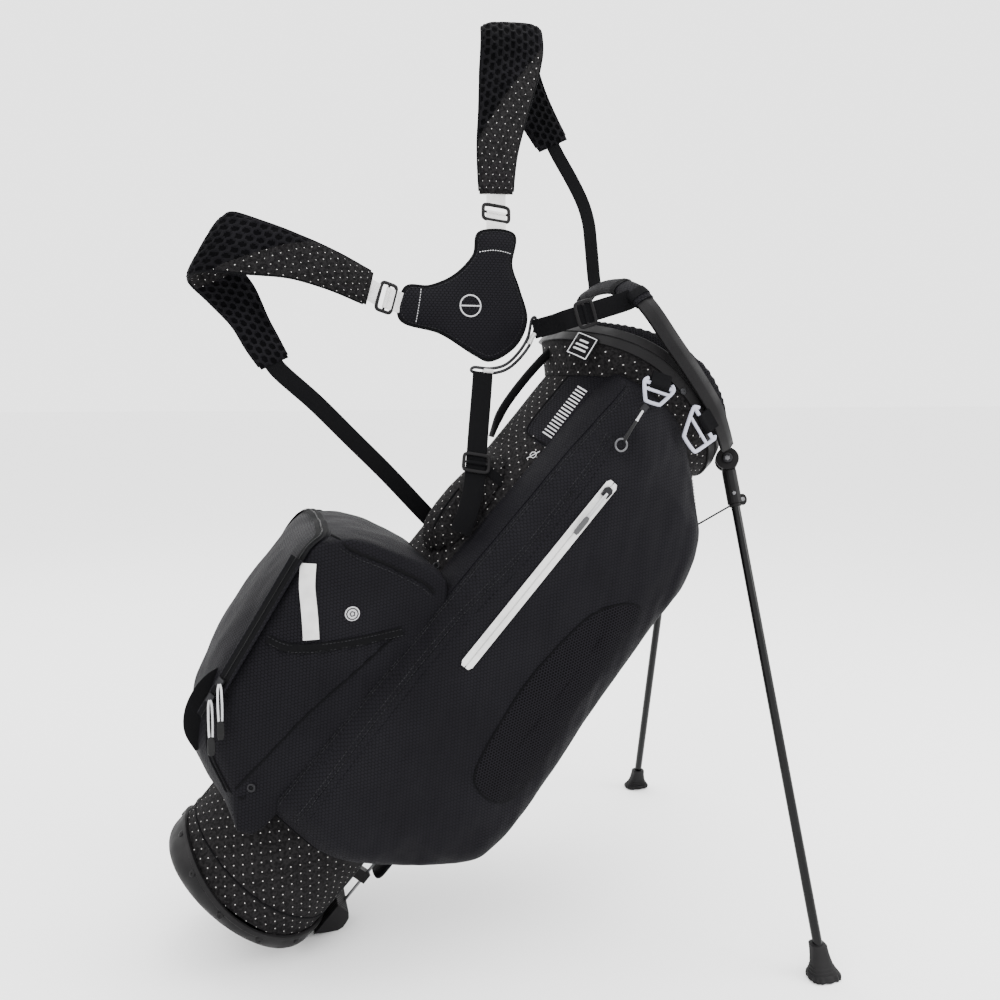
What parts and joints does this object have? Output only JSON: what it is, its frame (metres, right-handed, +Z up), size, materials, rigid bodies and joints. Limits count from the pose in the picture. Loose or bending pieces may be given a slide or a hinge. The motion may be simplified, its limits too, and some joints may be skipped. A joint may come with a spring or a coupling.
{
  "type": "golf stand bag",
  "caption": "Golf stand bag leaning on two deployed folding legs, with side, ball and bottle pockets, zippers, clip rings, a raised grip and a double shoulder harness.",
  "frame": {"origin": "on the ground, under the centre of the part's bounding box", "axes": "+Z up, +X the way the bag leans and its legs stand, -Y the side with the white zipper"},
  "size_m": [0.7774, 0.5766, 1.1673],
  "materials": {
    "steel": "dark satin",
    "plastic": "satin moulded, faceted",
    "dotted_fabric": "matt weave with a grid of small white dots",
    "ripstop": "woven honeycomb ripstop, soft sheen",
    "white_trim": "matt white tape",
    "black_tube": "gloss black",
    "webbing": "tight woven",
    "rubber": "satin moulded",
    "ring_plastic": "pale satin moulded",
    "spacer_mesh": "open diamond mesh over foam"
  },
  "bodies": {
    "bag": {"bag_tube": "dotted_fabric", "ball_pocket": "ripstop", "ball_zip_track": "webbing", "base_cup": "rubber", "bottle_pocket": "dotted_fabric", "buckle_left": "plastic", "buckle_right": "plastic", "collar_band": "plastic", "divider_cross": "ripstop", "far_leg_housing": "plastic", "far_leg_pin": "steel", "harness_bail": "steel", "harness_pad": "ripstop", "hip_pad": "spacer_mesh", "lift_handle": "webbing", "mouth_cuff": "spacer_mesh", "near_leg_housing": "plastic", "near_leg_pin": "steel", "near_zip_track": "white_trim", "raised_handle": "plastic", "ring_tab_1": "webbing", "ring_tab_2": "webbing", "rod_guide_lower": "plastic", "rod_guide_upper": "plastic", "rod_sleeve": "ripstop", "shoulder_pad_left": "dotted_fabric", "shoulder_pad_right": "dotted_fabric", "side_pocket_far": "ripstop", "side_pocket_near": "ripstop", "stay_rod_far": "steel", "stay_rod_near": "steel", "strap_left": "webbing", "strap_lower": "webbing", "strap_right": "webbing", "strap_upper": "webbing", "tab_left": "white_trim", "tab_right": "white_trim"},
    "near_leg": {"near_leg_socket": "plastic", "near_leg_tube": "black_tube", "near_leg_foot": "rubber"},
    "far_leg": {"far_leg_socket": "plastic", "far_leg_tube": "black_tube", "far_leg_foot": "rubber"},
    "actuator": {"actuator_rod": "steel", "actuator_yoke": "plastic", "roller_foot": "rubber"},
    "near_wire": {"near_wire": "steel"},
    "far_wire": {"far_wire": "steel"},
    "near_zip_slider": {"near_zip_slider": "black_tube"},
    "near_zip_pull": {"near_zip_pull": "plastic"},
    "ball_zip_slider_upper": {"ball_zip_slider_upper": "black_tube"},
    "ball_zip_pull_upper": {"ball_zip_pull_upper": "white_trim"},
    "ball_zip_slider_lower": {"ball_zip_slider_lower": "black_tube"},
    "ball_zip_pull_lower": {"ball_zip_pull_lower": "white_trim"},
    "fob_slider": {"fob_slider": "black_tube"},
    "zip_fob": {"zip_fob": "webbing"},
    "clip_ring_1": {"clip_ring_1": "ring_plastic"},
    "clip_ring_2": {"clip_ring_2": "ring_plastic"},
    "adjuster_upper": {"adjuster_upper": "plastic"},
    "adjuster_lower": {"adjuster_lower": "plastic"}
  },
  "joints": [
    {"name": "near_leg_fold", "type": "hinge", "parent": "bag", "child": "near_leg", "pos_m": [0.33456, -0.0685, 0.60874], "axis": [0.4155, 0.8685, -0.2703], "range_deg": [0, 45.31]},
    {"name": "far_leg_fold", "type": "hinge", "parent": "bag", "child": "far_leg", "pos_m": [0.33456, 0.0685, 0.60874], "axis": [-0.4155, 0.8685, 0.2703], "range_deg": [0, 45.32]},
    {"name": "actuator_slide", "type": "slide", "parent": "bag", "child": "actuator", "axis": [0.6665, 0, 0.7455], "range_m": [-0.0301, 0]},
    {"name": "near_wire_turn", "type": "hinge", "parent": "actuator", "child": "near_wire", "pos_m": [0.23036, -0.0055, 0.4649], "axis": [-0.6085, -0.7758, 0.1667], "range_deg": [0, 15.28]},
    {"name": "far_wire_turn", "type": "hinge", "parent": "actuator", "child": "far_wire", "pos_m": [0.23036, 0.0055, 0.4649], "axis": [0.6085, -0.7758, -0.1667], "range_deg": [0, 15.28]},
    {"name": "near_zip_travel", "type": "slide", "parent": "bag", "child": "near_zip_slider", "axis": [-0.6557, 0, -0.755], "range_m": [0, 0.245]},
    {"name": "near_zip_pull_swing", "type": "hinge", "parent": "near_zip_slider", "child": "near_zip_pull", "pos_m": [0.12584, -0.1632, 0.5802], "axis": [-0.755, 0, 0.6557], "range_deg": [0, 150]},
    {"name": "ball_zip_upper_travel", "type": "slide", "parent": "bag", "child": "ball_zip_slider_upper", "axis": [0.5247, 0, 0.8513], "range_m": [0, 0.18]},
    {"name": "ball_zip_pull_upper_swing", "type": "hinge", "parent": "ball_zip_slider_upper", "child": "ball_zip_pull_upper", "pos_m": [-0.31685, -0.1331, 0.37957], "axis": [-1, 0, 0], "range_deg": [0, 100]},
    {"name": "ball_zip_lower_travel", "type": "slide", "parent": "bag", "child": "ball_zip_slider_lower", "axis": [0.5247, 0, 0.8513], "range_m": [-0.012, 0]},
    {"name": "ball_zip_pull_lower_swing", "type": "hinge", "parent": "ball_zip_slider_lower", "child": "ball_zip_pull_lower", "pos_m": [-0.32735, -0.1331, 0.36255], "axis": [-1, 0, 0], "range_deg": [0, 100]},
    {"name": "fob_zip_travel", "type": "slide", "parent": "bag", "child": "fob_slider", "axis": [-0.6665, 0, -0.7455], "range_m": [0, 0.2]},
    {"name": "fob_swing", "type": "hinge", "parent": "fob_slider", "child": "zip_fob", "pos_m": [0.1695, -0.1625, 0.67664], "axis": [-0.8282, 0, 0.5605], "range_deg": [0, 150]},
    {"name": "clip_ring_1_swing", "type": "hinge", "parent": "bag", "child": "clip_ring_1", "pos_m": [0.19832, -0.144, 0.70587], "axis": [-0.9551, 0, 0.2963], "range_deg": [0, 110]},
    {"name": "clip_ring_2_swing", "type": "hinge", "parent": "bag", "child": "clip_ring_2", "pos_m": [0.25898, -0.144, 0.65969], "axis": [-0.5486, 0, 0.8361], "range_deg": [0, 110]},
    {"name": "adjuster_upper_travel", "type": "slide", "parent": "bag", "child": "adjuster_upper", "axis": [0.9469, -0.1217, 0.2976], "range_m": [-0.01, 0.012]},
    {"name": "adjuster_lower_travel", "type": "slide", "parent": "bag", "child": "adjuster_lower", "axis": [-0.1599, -0.3122, -0.9365], "range_m": [-0.06, 0.01]}
  ],
  "couplings": [
    {"joint": "far_leg_fold", "follows": "near_leg_fold", "ratio": 1},
    {"joint": "actuator_slide", "follows": "near_leg_fold", "m_per_rad": -0.037937},
    {"joint": "near_wire_turn", "follows": "near_leg_fold", "ratio": 0.33708},
    {"joint": "far_wire_turn", "follows": "near_leg_fold", "ratio": 0.33708}
  ]
}
